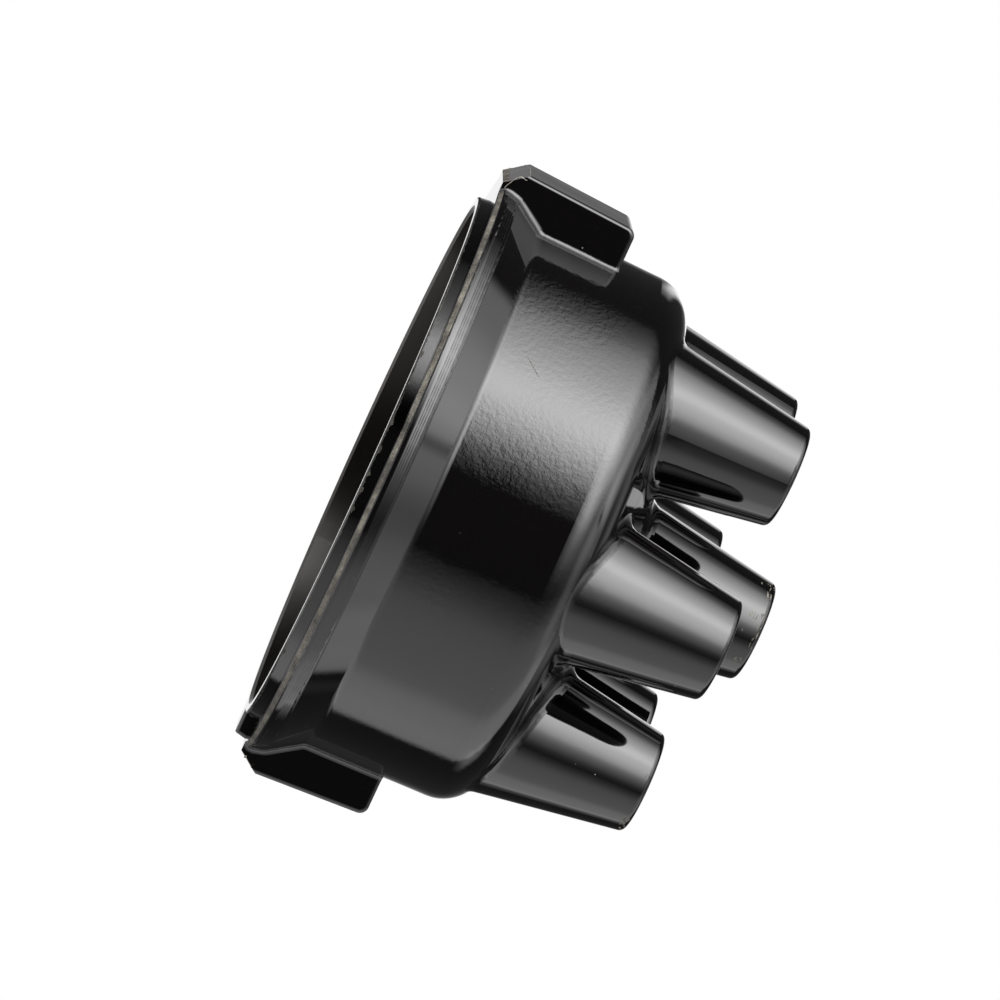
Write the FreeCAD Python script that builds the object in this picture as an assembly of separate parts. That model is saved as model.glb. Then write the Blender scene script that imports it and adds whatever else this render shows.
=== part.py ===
import FreeCAD, Part
import math
import os

os.makedirs("parts", exist_ok=True)

# Distributor cap, in millimetres. +Z runs from the open mouth to the lead towers, and z = 0 is
# the plane of the lip's end, on which the cap stands. The two clip lugs lie along X, and the
# locating tang is under the lug at +X.

# Spigot lip, which centres the cap in the distributor body, set back from the barrel
lip_setback = 0.7
lip_wall = 1.7
lip_height = 1.6
lip_draft = 0.2
lip_edge_radius = 0.25

# Locating tang on the lip
tang_reach = 3.2
tang_width = 7.0
tang_draft = 0.35
tang_corner = 0.6

# Flange: a bevel where the flash was trimmed, a plain band and a relief
flange_overhang = 3.3
trim_width = 0.55
trim_height = 0.8
trim_blend = 0.25
band_height = 0.6
relief_height = 1.35
relief_drop = 0.35
flange_blend = 1.2

# Cone from the flange to the barrel
cone_height = 4.5
cone_blend = 1.6

# Barrel, rounded shoulder and the flat cone of the top, whose slope is in degrees. The barrel's
# radius follows from the towers that it carries.
barrel_height = 21.9
barrel_draft = 0.5
shoulder_radius = 5.8
top_slope = 14.7

# Clip lugs
lug_width = 16.4
lug_overhang = 2.25
lug_trim_overhang = 0.55
lug_chamfer_height = 2.25
lug_end = 20.2
lug_draft = 0.85
lug_end_radius = 1.3
lug_edge_radius = 0.6
lug_fillet = 0.8

# Lead towers: one for each cylinder on a circle, and one for the coil in the middle. Their
# heights and feet are taken at the corner where the barrel and the top would meet. The gap is
# between the feet of two towers, and their ends reach out just over the start of the shoulder.
cylinder_count = 6
tower_gap = 5.261
tower_over_shoulder = 0.9
tower_first_angle = 30.0
tower_height = 20.65
coil_tower_height = 27.05
tower_end_radius = 6.95
tower_taper = 9.2
tower_rim_radius = 0.9
tower_fillet = 2.0

# Lead sockets, which reach down to the cups of the terminals
socket_radius = 4.4
socket_chamfer = 0.5

# Hollow inside
cavity_draft = 0.5
cavity_corner = 4.0
roof_thickness = 4.2
mouth_chamfer = 0.4

# Bosses inside, round the stems of the terminals, as far as they hang below the roof there
boss_radius = 6.2
boss_height = 7.9
boss_draft = 0.5
coil_boss_radius = 6.6
coil_boss_height = 12.7
boss_edge_radius = 0.8

# Moulded-in terminals: stems up from the bosses' ends and the carbon's seat, with cups on them
plug_stem = 5.65
coil_stem = 6.45
cup_wall = 1.2
cup_overlap = 0.5
cup_depth = 7.5
cup_floor = 1.6
stem_radius = 2.2
collar_radius = 3.4
collar_height = 1.0
electrode_radius = 2.8
electrode_length = 3.7
electrode_flat = 1.5
electrode_chamfer = 0.3

# Fixed carbon button under the coil terminal
carbon_radius = 3.0
carbon_length = 7.6
carbon_seat = 3.6
carbon_dome = 1.2

# Places that follow from the sizes
taper = math.tan(math.radians(tower_taper))
tower_foot_radius = tower_end_radius + taper * tower_height
tower_pitch = 2 * tower_foot_radius + tower_gap
tower_circle_radius = max(tower_pitch, tower_pitch / (2 * math.sin(math.pi / cylinder_count)))
tower_reach = tower_circle_radius + tower_end_radius
barrel_top_radius = tower_reach - tower_over_shoulder + shoulder_radius
barrel_radius = barrel_top_radius + barrel_draft
lip_radius = barrel_radius - lip_setback
flange_radius = barrel_radius + flange_overhang
lug_reach = flange_radius + lug_overhang
lug_trim_reach = flange_radius + lug_trim_overhang
trim_end = lip_height + trim_height
band_end = trim_end + band_height
relief_end = band_end + relief_height
cone_end = relief_end + cone_height
barrel_end = cone_end + barrel_height
rise = math.tan(math.radians(top_slope))
top_apex = barrel_end + barrel_top_radius * rise
roof_apex = top_apex - roof_thickness / math.cos(math.radians(top_slope))
wall_middle_apex = (top_apex + roof_apex) / 2
roof_at_towers = roof_apex - tower_circle_radius * rise
cavity_radius = lip_radius - lip_wall
cavity_top_radius = cavity_radius - cavity_draft
cavity_side_end = roof_apex - cavity_top_radius * rise
tower_top = barrel_end + tower_height
coil_tower_top = barrel_end + coil_tower_height
cup_radius = socket_radius + cup_overlap
boss_end = roof_at_towers - boss_height
coil_boss_end = roof_apex - coil_boss_height
seat = coil_boss_end + carbon_seat
seam_angle = 60.0
overlap = 1.0
tiny = 0.01


def rounded_outline(corners):
    """Closed wire in the XZ plane. Each corner is (x, z, radius), and radius 0 keeps it sharp."""
    points = [FreeCAD.Vector(x, 0, z) for x, z, radius in corners]
    edges = []
    ends = []
    for index, (x, z, radius) in enumerate(corners):
        here = points[index]
        if radius == 0:
            ends.append((here, here))
            continue
        back = (points[index - 1] - here).normalize()
        ahead = (points[(index + 1) % len(points)] - here).normalize()
        half_angle = math.acos(back.dot(ahead)) / 2
        tangent = radius / math.tan(half_angle)
        middle = here + (back + ahead).normalize() * (radius / math.sin(half_angle) - radius)
        start = here + back * tangent
        end = here + ahead * tangent
        edges.append((index, Part.Arc(start, middle, end).toShape()))
        ends.append((start, end))
    path = []
    arcs = dict(edges)
    for index in range(len(points)):
        if index in arcs:
            path.append(arcs[index])
        leave = ends[index][1]
        arrive = ends[(index + 1) % len(points)][0]
        if leave.distanceToPoint(arrive) > 1e-6:
            path.append(Part.LineSegment(leave, arrive).toShape())
    return Part.Wire(path)


def turned(corners):
    """Solid of revolution about Z, with its seam away from the lugs and the towers."""
    face = Part.Face(rounded_outline(corners))
    solid = face.revolve(FreeCAD.Vector(0, 0, 0), FreeCAD.Vector(0, 0, 1), 360)
    solid.rotate(FreeCAD.Vector(0, 0, 0), FreeCAD.Vector(0, 0, 1), seam_angle)
    return solid


def on_tower(shape, angle):
    """Copy of a shape moved from the axis to its tower, with its own +X pointing outwards."""
    placed = shape.copy()
    placed.rotate(FreeCAD.Vector(0, 0, 0), FreeCAD.Vector(0, 0, 1), angle)
    turn = math.radians(angle)
    placed.translate(FreeCAD.Vector(math.cos(turn), math.sin(turn), 0) * tower_circle_radius)
    return placed


tower_angles = [tower_first_angle + 360.0 / cylinder_count * i for i in range(cylinder_count)]


def body_of_revolution():
    """Lip, flange, cone, barrel and shoulder with the hollow inside, as one turned solid."""
    return turned([
        (cavity_radius + mouth_chamfer, 0, 0),
        (lip_radius, 0, lip_edge_radius),
        (lip_radius + lip_draft, lip_height, 0),
        (flange_radius - trim_width, lip_height, 0),
        (flange_radius, trim_end, trim_blend),
        (flange_radius, band_end, flange_blend),
        (flange_radius - relief_drop, relief_end, flange_blend),
        (barrel_radius, cone_end, cone_blend),
        (barrel_top_radius, barrel_end, shoulder_radius),
        (0, top_apex, 0),
        (0, roof_apex, 0),
        (cavity_top_radius, cavity_side_end, cavity_corner),
        (cavity_radius, mouth_chamfer, 0),
    ])


def clip_lug():
    """Block on the +X side that a spring clip hooks over, with its chamfer at the mouth end."""
    root = cavity_radius + lip_wall / 2
    outline = rounded_outline([
        (root, lip_height, 0),
        (lug_trim_reach - trim_width, lip_height, 0),
        (lug_trim_reach, trim_end, 0),
        (lug_reach, trim_end + lug_chamfer_height, 0),
        (lug_reach - lug_draft, lug_end, lug_end_radius),
        (root, lug_end, 0),
    ])
    block = Part.Face(outline).extrude(FreeCAD.Vector(0, lug_width, 0))
    block.translate(FreeCAD.Vector(0, -lug_width / 2, 0))
    long_edges = []
    for edge in block.Edges:
        middle = edge.CenterOfMass
        at_side = abs(abs(middle.y) - lug_width / 2) < tiny
        above_chamfer = middle.z > trim_end + lug_chamfer_height
        if at_side and above_chamfer and middle.x > root + overlap:
            long_edges.append(edge)
    return block.makeFillet(lug_edge_radius, long_edges)


def locating_tang():
    """Key on the outside of the lip at +X, which turns the cap to its one right place."""
    inner = lip_radius - lip_wall / 2
    outer = lip_radius + tang_reach
    outline = rounded_outline([
        (inner, 0, 0),
        (outer, 0, lip_edge_radius),
        (outer + tang_draft, lip_height, 0),
        (inner, lip_height, 0),
    ])
    block = Part.Face(outline).extrude(FreeCAD.Vector(0, tang_width, 0))
    block.translate(FreeCAD.Vector(0, -tang_width / 2, 0))
    corners = []
    for edge in block.Edges:
        middle = edge.CenterOfMass
        upright = abs(edge.Vertexes[0].Z - edge.Vertexes[-1].Z) > lip_height / 2
        if upright and middle.x > lip_radius + tang_reach / 2:
            corners.append(edge)
    return block.makeFillet(tang_corner, corners)


def below_wall():
    """Space below the middle of the sloping top wall, which trims the feet of the towers."""
    low = cone_end - overlap
    return turned([
        (0, low, 0),
        (lug_reach, low, 0),
        (lug_reach, wall_middle_apex - lug_reach * rise, 0),
        (0, wall_middle_apex, 0),
    ])


def tower(top):
    """Tapered tower on the axis, with a foot that is still to be trimmed and a rounded end."""
    foot = barrel_end - shoulder_radius
    return turned([
        (0, foot, 0),
        (tower_end_radius + taper * (top - foot), foot, 0),
        (tower_end_radius, top, tower_rim_radius),
        (0, top, 0),
    ])


def boss(radius, end, root):
    """Boss that hangs from the roof inside, round a terminal's stem, with its root in the wall."""
    return turned([
        (0, end, 0),
        (radius, end, boss_edge_radius),
        (radius + boss_draft, root, 0),
        (0, root, 0),
    ])


def terminal_side(bottom):
    """Corners of the outside of a terminal, up from its stem: an anchoring collar and a cup."""
    collar_top = bottom - collar_height
    mouth = bottom + cup_floor + cup_depth
    return [
        (stem_radius, collar_top - collar_height, 0),
        (collar_radius, collar_top - collar_height, 0),
        (collar_radius, collar_top, 0),
        (stem_radius, collar_top, 0),
        (stem_radius, bottom, 0),
        (cup_radius, bottom, 0),
        (cup_radius, mouth, 0),
    ]


def terminal_metal(stem_end, stem_length):
    """Terminal on the axis: the cup takes the lead's end at the bottom of the socket."""
    bottom = stem_end + stem_length
    floor = bottom + cup_floor
    return turned([(0, stem_end, 0), (stem_radius, stem_end, 0)] + terminal_side(bottom) + [
        (cup_radius - cup_wall, floor + cup_depth, 0),
        (cup_radius - cup_wall, floor, 0),
        (0, floor, 0),
    ])


def lead_socket(top, foot, bottom):
    """Space of a lead socket, with its lead-in chamfer and the pocket of its terminal."""
    return turned(foot + terminal_side(bottom) + [
        (socket_radius, bottom + cup_floor + cup_depth, 0),
        (socket_radius, top - socket_chamfer, 0),
        (socket_radius + socket_chamfer, top, 0),
        (socket_radius + socket_chamfer, top + overlap, 0),
        (0, top + overlap, 0),
    ])


def plug_socket():
    """Lead socket of an outer tower, with the way of the stem through its boss."""
    foot = boss_end - overlap
    return lead_socket(tower_top, [(0, foot, 0), (stem_radius, foot, 0)], boss_end + plug_stem)


def coil_socket():
    """Lead socket of the centre tower, with the seat of the carbon button in its boss."""
    foot = coil_boss_end - overlap
    return lead_socket(coil_tower_top, [
        (0, foot, 0),
        (carbon_radius, foot, 0),
        (carbon_radius, seat, 0),
        (stem_radius, seat, 0),
    ], seat + coil_stem)


def plug_terminal():
    """Terminal of an outer tower, on the axis. Its electrode's flat faces -X, where the rotor is."""
    metal = terminal_metal(boss_end, plug_stem)
    electrode_end = boss_end - electrode_length
    foot = turned([
        (0, electrode_end, 0),
        (electrode_radius - electrode_chamfer, electrode_end, 0),
        (electrode_radius, electrode_end + electrode_chamfer, 0),
        (electrode_radius, boss_end, 0),
        (0, boss_end, 0),
    ])
    size = 2 * electrode_radius
    cut = Part.makeBox(size, 2 * size, electrode_length,
                       FreeCAD.Vector(-electrode_flat - size, -size, electrode_end))
    return metal.fuse(foot.cut(cut)).removeSplitter()


def coil_terminal():
    """Terminal of the centre tower, down to the seat of the carbon button."""
    return terminal_metal(seat, coil_stem)


def carbon_button():
    """Round carbon contact, seated in the centre boss, with a domed end for the rotor's spring."""
    return turned([
        (0, seat - carbon_length, 0),
        (carbon_radius, seat - carbon_length, carbon_dome),
        (carbon_radius, seat, 0),
        (0, seat, 0),
    ])


def lug_joint_edges(shape):
    """Edges where the side faces of the lugs meet the flange, the cone and the barrel."""
    found = []
    for edge in shape.Edges:
        if edge.Length < tiny:
            continue
        box = edge.BoundBox
        in_side_plane = box.YLength < tiny and abs(abs(box.Center.y) - lug_width / 2) < tiny
        reach = max(math.hypot(point.x, point.y) for point in edge.discretize(5))
        on_body = reach < flange_radius + tiny and box.ZMin > lip_height - tiny
        if in_side_plane and on_body and box.ZLength > tiny:
            found.append(edge)
    return found


def beyond_lugs(body):
    """Ring round the barrel just beyond the lugs, which trims their fillets to the end faces."""
    ring = turned([
        (cavity_radius, lug_end, 0),
        (lug_reach, lug_end, 0),
        (lug_reach, lug_end + 2 * lug_fillet, 0),
        (cavity_radius, lug_end + 2 * lug_fillet, 0),
    ])
    return ring.cut(body)


def tower_foot_edges(shape):
    """Edges where the towers meet the sloping top and the shoulder."""
    found = []
    places = [(0, 0, coil_tower_top)]
    for angle in tower_angles:
        turn = math.radians(angle)
        x = tower_circle_radius * math.cos(turn)
        y = tower_circle_radius * math.sin(turn)
        places.append((x, y, tower_top))
    for edge in shape.Edges:
        box = edge.BoundBox
        if box.ZMax > top_apex + tiny or box.ZMin < cavity_side_end or edge.Length < tiny:
            continue
        for x, y, top in places:
            gaps = []
            for point in edge.discretize(5):
                cone_radius = tower_end_radius + taper * (top - point.z)
                gaps.append(abs(math.hypot(point.x - x, point.y - y) - cone_radius))
            if max(gaps) < tiny:
                found.append(edge)
    return found


def cap_shell():
    """The moulding, with its sockets and the pockets of the moulded-in metal and carbon."""
    lug = clip_lug()
    far_lug = lug.copy()
    far_lug.rotate(FreeCAD.Vector(0, 0, 0), FreeCAD.Vector(0, 0, 1), 180)
    body = body_of_revolution()
    shell = body.fuse([lug, far_lug])
    shell = shell.makeFillet(lug_fillet, lug_joint_edges(shell))
    shell = shell.cut(beyond_lugs(body))
    plug_tower = tower(tower_top)
    towers = [on_tower(plug_tower, angle) for angle in tower_angles] + [tower(coil_tower_top)]
    shell = shell.fuse([one.cut(below_wall()) for one in towers])
    shell = shell.makeFillet(tower_fillet, tower_foot_edges(shell))
    shell = shell.fuse(locating_tang())
    plug_boss = boss(boss_radius, boss_end, roof_at_towers + roof_thickness)
    bosses = [on_tower(plug_boss, angle) for angle in tower_angles]
    shell = shell.fuse(bosses + [boss(coil_boss_radius, coil_boss_end, wall_middle_apex)])
    for angle in tower_angles:
        shell = shell.cut(on_tower(plug_socket(), angle))
    return shell.cut(coil_socket())


terminal = plug_terminal()
pieces = {}
for number, angle in enumerate(tower_angles, start=1):
    pieces["terminal_%d" % number] = on_tower(terminal, angle)
pieces["centre_terminal"] = coil_terminal()
pieces["carbon_button"] = carbon_button()
pieces["cap_shell"] = cap_shell()

for name, shape in pieces.items():
    print(name, shape.isValid(), len(shape.Solids), round(shape.Volume, 1))
    shape.exportStep("parts/%s.step" % name)
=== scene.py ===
import math
import random

import bmesh
import bpy
from mathutils import Matrix, Vector, noise


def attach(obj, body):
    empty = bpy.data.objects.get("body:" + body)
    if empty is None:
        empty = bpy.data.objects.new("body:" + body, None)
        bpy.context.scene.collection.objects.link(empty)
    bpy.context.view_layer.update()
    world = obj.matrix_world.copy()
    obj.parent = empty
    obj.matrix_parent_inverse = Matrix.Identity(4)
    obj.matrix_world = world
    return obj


# Looks of a black moulded distributor cap. Lengths are in metres, in the frame of the solids: +Z
# runs from the open mouth to the lead towers, and z = 0 is the plane of the lip's end.

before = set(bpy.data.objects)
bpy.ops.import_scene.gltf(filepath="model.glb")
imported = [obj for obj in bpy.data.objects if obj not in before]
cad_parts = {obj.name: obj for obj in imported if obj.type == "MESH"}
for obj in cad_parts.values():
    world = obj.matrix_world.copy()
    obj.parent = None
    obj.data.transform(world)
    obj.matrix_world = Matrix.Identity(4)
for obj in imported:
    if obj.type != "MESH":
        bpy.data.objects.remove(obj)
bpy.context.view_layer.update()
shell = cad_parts["cap_shell"]

MM = 0.001
UP = Vector((0, 0, 1))

# Sizes of the moulding that the scene's own pieces and the resin's zones follow, in millimetres
HOLLOW_RADIUS = 36.3
HOLLOW_HEIGHT = 30.0
LUG_START = 38.6
LUG_REACH = 43.745
LUG_SIDE = 8.15
TOWER_START = 34.0
FLANGE_RADIUS = 41.5
RELIEF_START = 3.0
CONE_START = 4.35
CONE_RADIUS = 41.15
COIL_TOWER_TOP = 57.8
COIL_TOWER_RADIUS = 6.95
TOWER_TAPER = 0.162
SCUFFED_TOWER = (22.39, -12.93)


def linear(code):
    """Colour of an sRGB hex code, as the linear values that the shaders take."""
    values = []
    for start in (0, 2, 4):
        part = int(code.lstrip("#")[start:start + 2], 16) / 255
        values.append(part / 12.92 if part <= 0.04045 else ((part + 0.055) / 1.055) ** 2.4)
    return (*values, 1.0)


def node(tree, kind, settings=None, **links):
    """Adds a shader node. A link is a value, an output socket, or a node whose first output is meant.

    Links named in0, in1 and so on go to the input of that number, the others to the input of that
    name. The settings stops and blend fill a ramp with colours or levels at given places.
    """
    new = tree.nodes.new("ShaderNode" + kind)
    for name, value in (settings or {}).items():
        if name == "blend":
            new.color_ramp.interpolation = value
        elif name == "stops":
            points = new.color_ramp.elements
            points.remove(points[1])
            for index, (place, colour) in enumerate(value):
                point = points[0] if index == 0 else points.new(place)
                point.position = place
                point.color = colour if isinstance(colour, tuple) else (colour, colour, colour, 1)
        else:
            setattr(new, name, value)
    for name, value in links.items():
        key = int(name[2:]) if name.startswith("in") and name[2:].isdigit() else name.replace("_", " ")
        source = value.outputs[0] if isinstance(value, bpy.types.Node) else value
        if isinstance(source, bpy.types.NodeSocket):
            tree.links.new(source, new.inputs[key])
        else:
            new.inputs[key].default_value = source
    return new


# Camera, at the place and with the lens that the photograph was taken with
camera_azimuth = math.radians(-8.734)
camera_elevation = math.radians(-4.085)
camera_distance = 632.64 * MM
camera_roll = math.radians(24.345)
aim_height = 19.34 * MM
aim_offset = 2.046 * MM
focal_pixels = 4753.0
photo_pixels = 1000.0

to_camera = Vector((
    math.sin(camera_azimuth) * math.cos(camera_elevation),
    -math.cos(camera_azimuth) * math.cos(camera_elevation),
    math.sin(camera_elevation),
))
level_right = Vector((math.cos(camera_azimuth), math.sin(camera_azimuth), 0))
level_up = to_camera.cross(level_right)
aim = Vector((0, 0, aim_height)) - level_right * aim_offset
image_right = math.cos(camera_roll) * level_up - math.sin(camera_roll) * level_right
image_up = -math.sin(camera_roll) * level_up - math.cos(camera_roll) * level_right

camera_data = bpy.data.cameras.new("camera")
camera_data.sensor_fit = "HORIZONTAL"
camera_data.sensor_width = 36.0
camera_data.lens = focal_pixels / photo_pixels * camera_data.sensor_width
camera_data.clip_start = 0.01
camera = bpy.data.objects.new("camera", camera_data)
bpy.context.scene.collection.objects.link(camera)
turn = Matrix((image_right, image_up, to_camera)).transposed()
camera.matrix_world = Matrix.Translation(aim + to_camera * camera_distance) @ turn.to_4x4()
bpy.context.scene.camera = camera
bpy.context.scene.view_settings.view_transform = "Standard"


# Studio: a white backdrop for the camera, and for the gloss the lights that the photograph shows.
# They are placed by their bearing round the cap's axis from the camera, positive towards -X, and
# by their height over the horizon, both in degrees. Levels are in units of the backdrop's white.
def studio():
    world = bpy.data.worlds.new("studio")
    bpy.context.scene.world = world
    world.use_nodes = True
    tree = world.node_tree
    tree.nodes.clear()
    direction = node(tree, "TexCoord").outputs["Generated"]
    level_camera = Vector((to_camera.x, to_camera.y, 0)).normalized()
    sideways, forwards, upwards = [
        node(tree, "VectorMath", {"operation": "DOT_PRODUCT"}, in0=direction, in1=axis).outputs["Value"]
        for axis in (-level_right, level_camera, UP)
    ]
    bearing = node(tree, "Math", {"operation": "ARCTAN2"}, in0=sideways, in1=forwards)
    bearing = node(tree, "Math", {"operation": "DEGREES"}, in0=bearing)
    height = node(tree, "Math", {"operation": "ARCSINE"}, in0=upwards)
    height = node(tree, "Math", {"operation": "DEGREES"}, in0=height)

    def level_by(angle, limit, peak, levels):
        """Light level that follows given (angle, level) pairs, between -limit and limit."""
        place = node(tree, "MapRange", {}, Value=angle, From_Min=-limit, From_Max=limit)
        points = [((where + limit) / (2 * limit), level / peak) for where, level in levels]
        ramp = node(tree, "ValToRGB", {"blend": "CARDINAL", "stops": points}, Fac=place)
        clipped = node(tree, "Math", {"operation": "MAXIMUM"}, in0=ramp, in1=0.0)
        return node(tree, "Math", {"operation": "MULTIPLY"}, in0=clipped, in1=peak)

    # Key softbox, high on the -X side of the camera, narrower towards its lower end
    key_middle = 60.0
    narrowing = level_by(height, 90, 1.5, [(-10, 1.3), (4, 1.15), (6, 1.0)])
    from_middle = node(tree, "Math", {"operation": "SUBTRACT"}, in0=bearing, in1=key_middle)
    key_bearing = node(tree, "Math", {"operation": "MULTIPLY_ADD"}, in0=from_middle, in1=narrowing,
                       in2=key_middle)
    key = level_by(key_bearing, 180, 10, [(10, 0.0), (25, 3.0), (45, 9.2), (65, 6.5), (90, 2.0), (110, 0.0)])
    key_height = level_by(height, 90, 1, [
        (-45, 0.1), (-12, 0.45), (0, 0.83), (20, 1.0), (50, 0.35), (65, 0.3), (80, 0.1),
    ])

    # The key's upper end, and its spill over the camera
    key_high = level_by(bearing, 180, 1.2, [(50, 0.0), (75, 1.0), (110, 1.1), (115, 0.0)])
    key_high_height = level_by(height, 90, 1, [(35, 0.0), (45, 1.0), (60, 0.9), (70, 0.0)])
    spill = level_by(bearing, 180, 4, [(-30, 0.0), (-10, 0.5), (5, 2.0), (20, 4.0), (40, 0.0)])
    spill_height = level_by(height, 90, 1, [(10, 0.0), (25, 1.0), (50, 0.0)])

    # Long fill panel on the +X side, with a brighter tube and a sharp end behind
    fill = level_by(bearing, 180, 2, [
        (-115, 0.0), (-112, 1.2), (-90, 1.6), (-80, 1.2), (-45, 0.9), (-25, 0.1), (-20, 0.0),
    ])
    fill_height = level_by(height, 90, 1, [(-45, 0.5), (0, 0.9), (20, 1.0), (60, 0.8), (75, 0.1)])
    fill_end = level_by(bearing, 180, 1, [(-125, 0.0), (-115, 0.8), (-105, 0.0)])
    fill_end_height = level_by(height, 90, 1, [(10, 0.0), (20, 1.0), (30, 1.0), (40, 0.0)])

    # Ceiling over the camera, the backdrop behind the cap with its bright horizon, the ceiling's
    # middle, and the glow of the pale floor from below
    front = level_by(bearing, 180, 1.2, [(-40, 0.0), (-10, 0.6), (10, 1.2), (25, 0.6), (40, 0.0)])
    front_height = level_by(height, 90, 1, [(30, 0.0), (50, 0.75), (65, 0.9), (80, 0.6)])
    backdrop = level_by(bearing, 180, 1.2, [
        (-180, 1.2), (-170, 0.3), (-155, 0.0), (160, 0.0), (170, 0.35), (180, 1.2),
    ])
    backdrop_height = level_by(height, 90, 1.2, [(-70, 0.6), (-10, 1.2), (10, 0.8), (25, 0.4), (40, 0.0)])
    horizon = level_by(bearing, 180, 1.2, [(140, 0.0), (155, 1.2), (180, 1.0)])
    horizon_height = level_by(height, 90, 1, [(6, 0.0), (9, 1.0), (12, 1.0), (15, 0.0)])
    overhead = level_by(height, 90, 1, [(50, 0.0), (65, 0.55), (80, 0.2)])
    floor_glow = level_by(height, 90, 1.2, [(-90, 0.9), (-45, 1.1), (-15, 0.0)])

    ambient = 0.05
    total = ambient
    for by_bearing, by_height in ((key, key_height), (spill, spill_height), (fill, fill_height),
                                  (fill_end, fill_end_height), (front, front_height),
                                  (key_high, key_high_height), (horizon, horizon_height),
                                  (backdrop, backdrop_height), (overhead, 1.0), (floor_glow, 1.0)):
        total = node(tree, "Math", {"operation": "MULTIPLY_ADD"}, in0=by_bearing, in1=by_height, in2=total)

    # Dark flags: a gap between the key and the ceiling, and the key's lower corners
    gap = level_by(bearing, 180, 1, [(20, 0.0), (28, 0.8), (36, 0.0)])
    gap_height = level_by(height, 90, 1, [(57, 0.0), (65, 1.0), (73, 0.0)])
    corners = level_by(bearing, 180, 1, [
        (10, 0.0), (20, 0.8), (30, 0.8), (38, 0.0), (55, 0.0), (70, 0.5), (85, 0.5), (100, 0.0),
    ])
    corners_height = level_by(height, 90, 1, [(-15, 1.0), (-5, 1.0), (0, 0.0)])
    for by_bearing, by_height in ((gap, gap_height), (corners, corners_height)):
        held_back = node(tree, "Math", {"operation": "MULTIPLY"}, in0=by_bearing, in1=by_height)
        let_through = node(tree, "Math", {"operation": "SUBTRACT"}, in0=1.0, in1=held_back)
        total = node(tree, "Math", {"operation": "MULTIPLY"}, in0=total, in1=let_through)

    gloss = node(tree, "Background", {}, Color=(1, 1, 1, 1), Strength=total)
    white = node(tree, "Background", {}, Color=(1, 1, 1, 1), Strength=1.0)
    seen = node(tree, "LightPath").outputs["Is Camera Ray"]
    both = node(tree, "MixShader", {}, in0=seen, in1=gloss, in2=white)
    node(tree, "OutputWorld", {}, Surface=both)


studio()


def material(name):
    made = bpy.data.materials.new(name)
    made.use_nodes = True
    made.node_tree.nodes.clear()
    return made, made.node_tree


# Floor: plain pale board. The photograph looks up from just under its plane, so its underside
# lets the view through.
def pale_floor():
    bpy.ops.object.select_all(action="DESELECT")
    bpy.ops.mesh.primitive_plane_add(size=3.0, location=(0, 0, -0.02 * MM))
    floor = bpy.context.active_object
    floor.name = "floor"
    made, tree = material("pale_painted_board")
    board = node(tree, "BsdfPrincipled", {}, Base_Color=linear("#e9e8e6"), Roughness=0.7)
    clear = node(tree, "BsdfTransparent")
    under = node(tree, "NewGeometry").outputs["Backfacing"]
    both = node(tree, "MixShader", {}, in0=under, in1=board, in2=clear)
    node(tree, "OutputMaterial", {}, Surface=both)
    floor.data.materials.append(made)
    floor.visible_glossy = False


pale_floor()


# Where the resin has orange peel: the middle of each zone, its reach, and how strong it is there
PEEL_ZONES = (
    ((-32, -21, 14), 11.0, 0.30),
    ((-14, -35, 12), 9.0, 0.30),
    ((-15, -35, 21), 10.0, 0.30),
    ((5, -38, 12), 6.0, 0.15),
)
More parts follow.
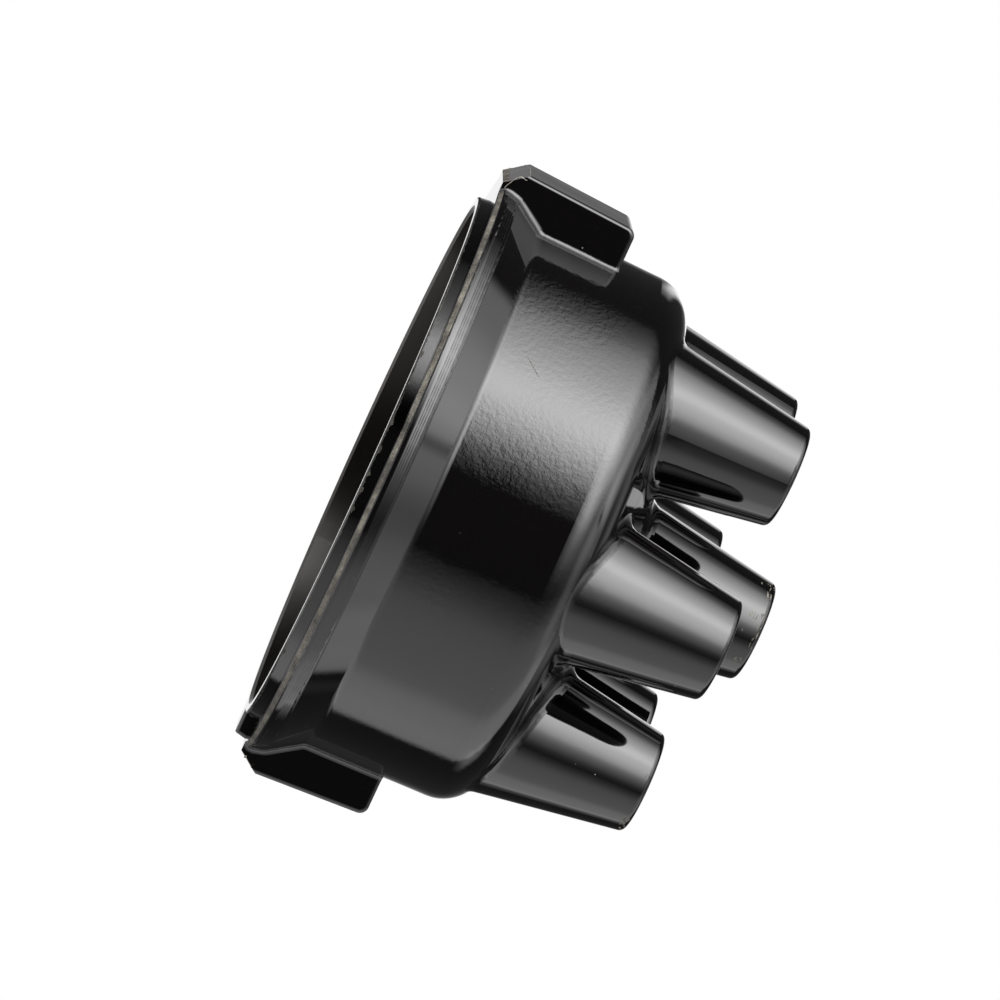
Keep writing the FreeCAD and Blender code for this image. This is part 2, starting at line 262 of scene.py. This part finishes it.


# Phenolic resin, compression-moulded in a polished steel mould: deep black with a hard gloss. The
# resin set unevenly, so zones have a fine orange peel, and fine dust lies on it. The hollow came
# off a plainer core and is dull. Its paler grey-brown colour is partly that duller resin and partly
# painted sheen that lightens the inner walls.
def moulded_phenolic():
    made, tree = material("compression_moulded_phenolic")
    place = node(tree, "TexCoord").outputs["Object"]
    axes = node(tree, "SeparateXYZ", {}, Vector=place)
    flat = node(tree, "CombineXYZ", {}, X=axes.outputs["X"], Y=axes.outputs["Y"])
    from_axis = node(tree, "VectorMath", {"operation": "LENGTH"}, in0=flat).outputs["Value"]
    in_hollow = node(tree, "Math", {"operation": "LESS_THAN"}, in0=from_axis, in1=HOLLOW_RADIUS * MM)
    under_roof = node(tree, "Math", {"operation": "LESS_THAN"}, in0=axes.outputs["Z"],
                      in1=HOLLOW_HEIGHT * MM)
    hollow = node(tree, "Math", {"operation": "MULTIPLY"}, in0=in_hollow, in1=under_roof)

    # Orange peel, strongest in its zones and hardly there on lugs and towers
    zones = node(tree, "TexNoise", {}, Vector=place, Scale=1 / (17 * MM), Detail=1.5, Roughness=0.5)
    side = node(tree, "MapRange", {}, Value=axes.outputs["X"], From_Min=14 * MM, From_Max=-10 * MM,
                To_Min=-0.14, To_Max=-0.02)
    zone = node(tree, "Math", {"operation": "ADD"}, in0=zones, in1=side)
    for middle, reach, strength in PEEL_ZONES:
        apart = node(tree, "VectorMath", {"operation": "DISTANCE"}, in0=place, in1=Vector(middle) * MM)
        near = node(tree, "MapRange", {"interpolation_type": "SMOOTHSTEP"}, Value=apart.outputs["Value"],
                    From_Min=reach * MM, From_Max=reach * 0.3 * MM, To_Min=0.0, To_Max=strength)
        zone = node(tree, "Math", {"operation": "ADD"}, in0=zone, in1=near)
    on_lugs = node(tree, "Math", {"operation": "GREATER_THAN"}, in0=from_axis, in1=LUG_START * MM)
    on_towers = node(tree, "Math", {"operation": "GREATER_THAN"}, in0=axes.outputs["Z"],
                     in1=TOWER_START * MM)
    zone = node(tree, "Math", {"operation": "MULTIPLY_ADD"}, in0=on_lugs, in1=-0.3, in2=zone)
    zone = node(tree, "Math", {"operation": "MULTIPLY_ADD"}, in0=on_towers, in1=-0.4, in2=zone)
    peel_amount = node(tree, "ValToRGB", {
        "blend": "EASE", "stops": [(0.3, 0.03), (0.45, 0.14), (0.54, 0.4), (0.68, 1.0)],
    }, Fac=zone)
    peel = node(tree, "TexNoise", {}, Vector=place, Scale=1 / (0.75 * MM), Detail=2.5, Roughness=0.62)
    sag = node(tree, "TexNoise", {}, Vector=place, Scale=1 / (11 * MM), Detail=1.0, Roughness=0.4)
    sag_bump = node(tree, "Bump", {}, Height=sag, Distance=0.06 * MM, Strength=1.0)
    peel_bump = node(tree, "Bump", {}, Height=peel, Distance=0.03 * MM, Strength=peel_amount, Normal=sag_bump)

    # Dust: pale specks of up to 0.14 mm across, at most one in each cell of 1.9 mm
    cells = node(tree, "TexVoronoi", {}, Vector=place, Scale=1 / (1.9 * MM), Randomness=1.0)
    pick = node(tree, "SeparateColor", {}, Color=cells.outputs["Color"])
    speck_size = node(tree, "Math", {"operation": "MULTIPLY"}, in0=pick.outputs["Red"], in1=0.036)
    in_speck = node(tree, "Math", {"operation": "LESS_THAN"}, in0=cells.outputs["Distance"], in1=speck_size)
    has_speck = node(tree, "Math", {"operation": "GREATER_THAN"}, in0=pick.outputs["Green"], in1=0.55)
    dust = node(tree, "Math", {"operation": "MULTIPLY"}, in0=in_speck, in1=has_speck)

    # Gloss with a faint haze, dull in the hollow and on the dust
    haze = node(tree, "TexNoise", {}, Vector=place, Scale=1 / (6 * MM), Detail=4.0, Roughness=0.6)
    gloss = node(tree, "MapRange", {}, Value=haze, From_Min=0.3, From_Max=0.75, To_Min=0.035, To_Max=0.09)
    dull = node(tree, "Mix", {"data_type": "FLOAT"}, in0=hollow, in2=gloss, in3=0.34)
    dusty = node(tree, "Mix", {"data_type": "FLOAT"}, in0=dust, in2=dull, in3=0.8)
    # Colour: black resin; the hollow's paler grey-brown is partly the duller core-side resin and partly
    # painted sheen on its inner walls; the pale specks are dust
    resin_with_painted_hollow_sheen = node(tree, "Mix", {"data_type": "RGBA"}, in0=hollow, in6=linear("#040303"),
                 in7=linear("#4a443d"))
    colour = node(tree, "Mix", {"data_type": "RGBA"}, in0=dust, in6=resin_with_painted_hollow_sheen.outputs[2],
                  in7=linear("#a8a49b"))
    shader = node(tree, "BsdfPrincipled", {}, Base_Color=colour.outputs[2], Roughness=dusty, IOR=1.6,
                  Normal=peel_bump)
    node(tree, "OutputMaterial", {}, Surface=shader)
    return made


# The same resin where the flash was broken or filed off: a tan-grey fracture, coarse and dull,
# with paler filler and dark pits
def broken_phenolic():
    made, tree = material("filed_phenolic_fracture")
    place = node(tree, "TexCoord").outputs["Object"]
    grain = node(tree, "TexNoise", {}, Vector=place, Scale=1 / (0.22 * MM), Detail=4.0, Roughness=0.7)
    patches = node(tree, "TexNoise", {}, Vector=place, Scale=1 / (2.6 * MM), Detail=3.0, Roughness=0.6)
    fine = node(tree, "Math", {"operation": "MULTIPLY"}, in0=grain, in1=0.55)
    mixed = node(tree, "Math", {"operation": "MULTIPLY_ADD"}, in0=patches, in1=0.75, in2=fine)
    colour = node(tree, "ValToRGB", {"stops": [
        (0.46, linear("#1c1a18")), (0.58, linear("#45413b")), (0.7, linear("#605c54")),
        (0.86, linear("#8a857a")),
    ]}, Fac=mixed)
    bump = node(tree, "Bump", {}, Height=grain, Distance=0.05 * MM, Strength=0.8)
    shader = node(tree, "BsdfPrincipled", {}, Base_Color=colour, Roughness=0.62, IOR=1.5, Normal=bump)
    node(tree, "OutputMaterial", {}, Surface=shader)
    return made


# Thin fins of flash let light through a little and look paler and browner than thick resin
def thin_flash():
    made, tree = material("thin_phenolic_flash")
    place = node(tree, "TexCoord").outputs["Object"]
    grain = node(tree, "TexNoise", {}, Vector=place, Scale=1 / (0.3 * MM), Detail=4.0, Roughness=0.65)
    colour = node(tree, "ValToRGB", {"stops": [
        (0.32, linear("#4a4640")), (0.5, linear("#8f8a80")), (0.7, linear("#cbc7bd")),
    ]}, Fac=grain)
    bump = node(tree, "Bump", {}, Height=grain, Distance=0.04 * MM, Strength=0.7)
    shader = node(tree, "BsdfPrincipled", {}, Base_Color=colour, Roughness=0.45, IOR=1.55, Normal=bump)
    node(tree, "OutputMaterial", {}, Surface=shader)
    return made


# Brass turned from drawn bar: rings from the tool, 0.17 mm apart along the axis, and a brown bloom
# where it has tarnished
def turned_brass():
    made, tree = material("turned_tarnished_brass")
    place = node(tree, "TexCoord").outputs["Object"]
    stretch = node(tree, "Mapping", {}, Vector=place, Scale=(60, 60, 6000))
    rings = node(tree, "TexNoise", {}, Vector=stretch, Scale=1.0, Detail=2.0, Roughness=0.6)
    bloom = node(tree, "TexNoise", {}, Vector=place, Scale=1 / (2.2 * MM), Detail=5.0, Roughness=0.6)
    colour = node(tree, "ValToRGB", {"stops": [
        (0.34, linear("#c2a262")), (0.52, linear("#a68448")), (0.68, linear("#6d5230")),
    ]}, Fac=bloom)
    rough = node(tree, "MapRange", {}, Value=bloom, From_Min=0.3, From_Max=0.7, To_Min=0.24, To_Max=0.5)
    bump = node(tree, "Bump", {}, Height=rings, Distance=0.01 * MM, Strength=0.6)
    shader = node(tree, "BsdfPrincipled", {}, Base_Color=colour, Metallic=1.0, Roughness=rough, Normal=bump)
    node(tree, "OutputMaterial", {}, Surface=shader)
    return made


# Carbon pressed from powder: matt dark grey with a fine open grain
def pressed_carbon():
    made, tree = material("pressed_carbon")
    place = node(tree, "TexCoord").outputs["Object"]
    grain = node(tree, "TexNoise", {}, Vector=place, Scale=1 / (0.15 * MM), Detail=4.0, Roughness=0.7)
    colour = node(tree, "ValToRGB", {"stops": [
        (0.35, linear("#17171a")), (0.65, linear("#35353a")),
    ]}, Fac=grain)
    bump = node(tree, "Bump", {}, Height=grain, Distance=0.03 * MM, Strength=0.6)
    shader = node(tree, "BsdfPrincipled", {}, Base_Color=colour, Roughness=0.5, IOR=1.8, Normal=bump)
    node(tree, "OutputMaterial", {}, Surface=shader)
    return made


phenolic = moulded_phenolic()
fracture = broken_phenolic()
flash = thin_flash()
brass = turned_brass()
carbon = pressed_carbon()
for name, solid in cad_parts.items():
    dressing = phenolic if name == "cap_shell" else carbon if name == "carbon_button" else brass
    solid.data.materials.clear()
    solid.data.materials.append(dressing)


# Flash, chips and tool lines are ragged and a few hundredths of a millimetre high, so their points
# are placed one by one
def join_rings(mesh, rings, closed=False):
    """Skins a row of rings. An open row gets end faces."""
    count = len(rings)
    for index in range(count if closed else count - 1):
        here, there = rings[index], rings[(index + 1) % count]
        for corner in range(len(here)):
            beside = (corner + 1) % len(here)
            mesh.faces.new((here[corner], here[beside], there[beside], there[corner]))
    if not closed:
        mesh.faces.new(rings[0])
        mesh.faces.new(list(reversed(rings[-1])))


def as_piece(name, mesh, dressing, smooth=False):
    """Makes an object that rides on the cap from a finished mesh."""
    bmesh.ops.recalc_face_normals(mesh, faces=mesh.faces)
    for face in mesh.faces:
        face.smooth = smooth
    data = bpy.data.meshes.new(name)
    mesh.to_mesh(data)
    mesh.free()
    data.materials.append(dressing)
    made = bpy.data.objects.new(name, data)
    bpy.context.scene.collection.objects.link(made)
    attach(made, "root")


# A strip is swept along frames, each a start point and an outward direction. Heights are counted
# along +Z.
def round_the_axis(count):
    frames = []
    for step in range(count):
        angle = 2 * math.pi * step / count
        frames.append((Vector((0, 0, 0)), Vector((math.cos(angle), math.sin(angle), 0))))
    return frames


def across_a_lug(sign, count):
    frames = []
    for step in range(count + 1):
        across = LUG_SIDE * (2 * step / count - 1) * MM
        frames.append((Vector((0, across, 0)), Vector((sign, 0, 0))))
    return frames


def ragged(seed, grain, depth):
    """How far a corner of a strip strays, in millimetres, by its place along the strip."""
    shift = Vector((seed * 17.3, seed * 5.1, seed * 9.7))

    def stray(point, corner):
        spot = point / (grain * MM) + shift + UP * corner * 3.1
        fine = noise.noise(spot)
        coarse = noise.noise(spot * 0.13)
        return depth * (0.6 * fine + 0.7 * coarse)
    return stray


def strip(name, frames, section, dressing, closed=True, stray=None, smooth=False, free=()):
    """Builds a swept strip, its section given as (out, height) corners in millimetres.

    The corners numbered in free stray along the height, the rest outwards, the first and last not.
    """
    furthest_out = 0.02
    mesh = bmesh.new()
    rings = []
    for origin, out in frames:
        ring = []
        for index, (reach, height) in enumerate(section):
            base = origin + out * reach * MM + UP * height * MM
            drift = stray(base, index) if stray and index not in (0, len(section) - 1) else 0.0
            if index in free:
                base += UP * drift * MM
            else:
                base += out * min(drift, furthest_out) * MM
            ring.append(mesh.verts.new(base))
        rings.append(ring)
    join_rings(mesh, rings, closed)
    as_piece(name, mesh, dressing, smooth)


# Trimmed stripe on the flange's bevel, where the flash round the mould's joint was filed off
strip("flange_trim", round_the_axis(2600), [
    (40.96, 1.76), (41.10, 1.70), (41.23, 1.86), (41.33, 2.01), (41.44, 2.18), (41.34, 2.30),
], fracture, stray=ragged(1, 0.3, 0.07), free=(1, 4))
for sign, side in ((-1, "minus_x"), (1, "plus_x")):
    strip("lug_trim_" + side, across_a_lug(sign, 150), [
        (41.40, 1.66), (41.53, 1.62), (41.70, 1.84), (41.86, 2.08), (42.02, 2.34), (41.90, 2.42),
    ], fracture, closed=False, stray=ragged(2, 0.35, 0.10), free=(1, 4))

# Chipped flash line round the lip's end
strip("lip_flash", round_the_axis(2600), [
    (37.44, 0.34), (37.52, 0.30), (37.545, 0.27), (37.53, 0.23), (37.44, 0.20),
], fracture, stray=ragged(3, 0.45, 0.16), free=(1,))

# Fine tool lines that the mould left in the flange's relief and at the start of the cone. They are
# 0.18 mm wide, and stand out by 0.026 mm
relief_slope = 0.2593
cone_slope = 0.6556
for number, height in enumerate((3.22, 3.52, 3.84, 4.16, 4.52), start=1):
    if height < CONE_START:
        surface = FLANGE_RADIUS - relief_slope * (height - RELIEF_START)
    else:
        surface = CONE_RADIUS - cone_slope * (height - CONE_START)
    strip("tool_line_%d" % number, round_the_axis(720), [
        (surface - 0.05, height - 0.09), (surface + 0.026, height), (surface - 0.05, height + 0.09),
    ], phenolic, smooth=True)


# Chips and flakes, laid on the moulding's own surface
def flake(name, spot, length, width, along, dressing, seed):
    """Irregular patch round a spot, in millimetres, with its long way along a direction."""
    lift = 0.03
    round_steps = 28
    highest = COIL_TOWER_TOP - 0.01
    found, centre, normal, face = shell.closest_point_on_mesh(Vector(spot) * MM)
    forward = Vector(along) - normal * Vector(along).dot(normal)
    forward.normalize()
    sideways = normal.cross(forward)
    mesh = bmesh.new()
    middle = mesh.verts.new(centre + normal * lift * MM)
    loops = []
    for reach in (0.35, 0.7, 0.94, 1.0):
        loop = []
        for step in range(round_steps):
            angle = 2 * math.pi * step / round_steps
            at_angle = Vector((math.cos(angle) * 2.3 + seed * 7.7, math.sin(angle) * 2.3, seed))
            size = reach * (1 + 0.9 * noise.noise(at_angle)) * MM / 2
            point = centre + forward * math.cos(angle) * length * size
            point += sideways * math.sin(angle) * width * size
            found, on_surface, outward, face = shell.closest_point_on_mesh(point)
            rough = noise.noise(on_surface / (0.3 * MM)) * 0.5 + 0.7
            rise = -0.03 if reach == 1.0 else lift * rough
            corner = on_surface + outward * rise * MM
            corner.z = min(corner.z, highest * MM)
            loop.append(mesh.verts.new(corner))
        loops.append(loop)
    for step in range(round_steps):
        beside = (step + 1) % round_steps
        mesh.faces.new((middle, loops[0][step], loops[0][beside]))
        for inner, outer in zip(loops, loops[1:]):
            mesh.faces.new((inner[step], outer[step], outer[beside], inner[beside]))
    mesh.faces.new(list(reversed(loops[-1])))
    as_piece(name, mesh, dressing)


# Name, place, length, width and long way of each
chips = [
    ("tang_chip", (37.4, -5.9, 1.2), 2.4, 0.8, (0.15, -1, 0.1)),
    ("tang_root_chip", (37.0, -7.6, 0.9), 1.6, 0.5, (0.2, -1, 0)),
]
lip_chip_places = (
    (-10.84, -35.95), (-7.24, -36.85), (-4.04, -37.33), (-1.74, -37.51), (0.87, -37.54), (-19.8, -32.0),
    (14.0, -34.8), (22.6, -30.1),
)
for number, (x, y) in enumerate(lip_chip_places, start=1):
    chips.append(("lip_chip_%d" % number, (x, y, 0.34), 0.95, 0.42, (-y, x, 0)))
chips.append(("barrel_scratch", (-24, -30, 14), 2.6, 0.1, (-0.6, 0, -0.5)))

# Scuffs from pulled leads, round the end of the centre tower and of one outer tower
scuffs = random.Random(11)
for number in range(1, 31):
    angle = math.radians(scuffs.uniform(-120, -55) if number > 9 else scuffs.uniform(-168, -146))
    height = COIL_TOWER_TOP - 0.25 - abs(scuffs.gauss(0, 1.0))
    reach = COIL_TOWER_RADIUS + TOWER_TAPER * (COIL_TOWER_TOP - height)
    spot = (reach * math.cos(angle), reach * math.sin(angle), height)
    chips.append(("coil_tower_scuff_%d" % number, spot, scuffs.uniform(0.25, 1.0), scuffs.uniform(0.1, 0.24),
                  (-math.sin(angle), math.cos(angle), scuffs.uniform(-0.5, 0.5))))
scuffed_radius = 7.05
for number in range(1, 15):
    angle = math.radians(scuffs.uniform(-110, -20))
    height = scuffs.uniform(50.2, 51.0)
    spot = (SCUFFED_TOWER[0] + scuffed_radius * math.cos(angle),
            SCUFFED_TOWER[1] + scuffed_radius * math.sin(angle), height)
    chips.append(("tower_scuff_%d" % number, spot, scuffs.uniform(0.25, 0.8), scuffs.uniform(0.1, 0.25),
                  (-math.sin(angle), math.cos(angle), scuffs.uniform(-0.5, 0.5))))
for seed, (name, spot, length, width, along) in enumerate(chips, start=1):
    flake(name, spot, length, width, along, flash if "tang" in name else fracture, seed)


# Flash threads at the ends of the lugs, where the mould's cheeks met
def thread(name, corners, thick, seed, spike=0.0):
    """Thin ragged ridge through corners, in millimetres, with spikes up to that much longer."""
    sides = 5
    path = []
    for start, end in zip(corners, corners[1:]):
        start = Vector(start)
        end = Vector(end)
        steps = max(2, int((end - start).length / 0.12))
        path += [start.lerp(end, step / steps) for step in range(steps)]
    path.append(Vector(corners[-1]))
    mesh = bmesh.new()
    rings = []
    for index, point in enumerate(path):
        ahead = path[min(index + 1, len(path) - 1)] - path[max(index - 1, 0)]
        ahead.normalize()
        across = ahead.cross(Vector((0, 1, 0)) if abs(ahead.y) < 0.7 else Vector((1, 0, 0))).normalized()
        beside = ahead.cross(across)
        stray = noise.noise(point / 0.35 + Vector((seed * 3.3, 0, 0)))
        size = thick * (0.75 + 0.6 * stray) + spike * max(0.0, stray - 0.25)
        ring = []
        for side in range(sides):
            angle = 2 * math.pi * side / sides
            spot = point + across * math.cos(angle) * size + beside * math.sin(angle) * thick * 0.8
            spot.x = max(-LUG_REACH, min(LUG_REACH, spot.x))
            ring.append(mesh.verts.new(spot * MM))
        rings.append(ring)
    join_rings(mesh, rings)
    as_piece(name, mesh, flash)


thread("lug_thread_minus_x", [
    (-43.66, 7.9, 4.64), (-43.70, 0.0, 4.62), (-43.66, -7.9, 4.60), (-43.0, -8.19, 4.33), (-43.15, -8.2, 3.51),
    (-42.85, -8.2, 3.06), (-41.45, -8.2, 2.27), (-40.68, -8.2, 2.0),
], 0.06, 1)
thread("lug_thread_plus_x", [
    (43.66, 7.9, 4.64), (43.70, 0.0, 4.62), (43.64, -7.9, 4.58), (42.95, -8.19, 3.62), (42.05, -8.19, 2.42),
    (41.55, -8.19, 1.7),
], 0.06, 2, spike=0.7)
for sign, side in ((-1, "minus_x"), (1, "plus_x")):
    thread("far_thread_" + side, [
        (sign * 43.62, 8.19, 4.6), (sign * 42.05, 8.19, 2.42), (sign * 41.55, 8.19, 1.7),
    ], 0.05, 3 + sign, spike=0.3)
